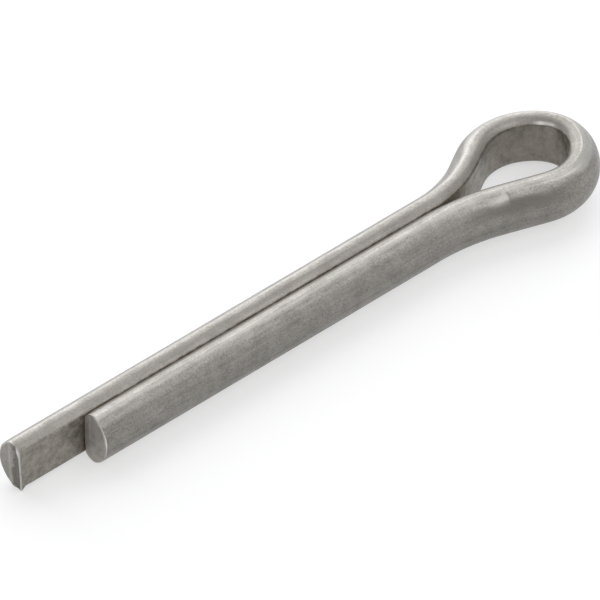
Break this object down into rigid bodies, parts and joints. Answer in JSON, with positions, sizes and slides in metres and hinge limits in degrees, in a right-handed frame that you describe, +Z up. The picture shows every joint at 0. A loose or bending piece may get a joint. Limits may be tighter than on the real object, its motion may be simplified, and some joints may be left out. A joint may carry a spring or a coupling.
{
  "type": "cotter pin",
  "caption": "Split pin of half-round steel wire folded to an open eye, with unequal legs that go through a hole and are bent apart to lock a shaft, pin or nut.",
  "frame": {"origin": "centre of the pin's own box, on the surface that it lies on", "axes": "+X along the shank towards the eye, +Y from the short leg towards the long one, +Z up, square to the fold"},
  "size_m": [0.0664, 0.012, 0.0053],
  "materials": {
    "tumbled_steel": "satin"
  },
  "bodies": {
    "root": {"pin_body": "tumbled_steel"}
  },
  "joints": []
}
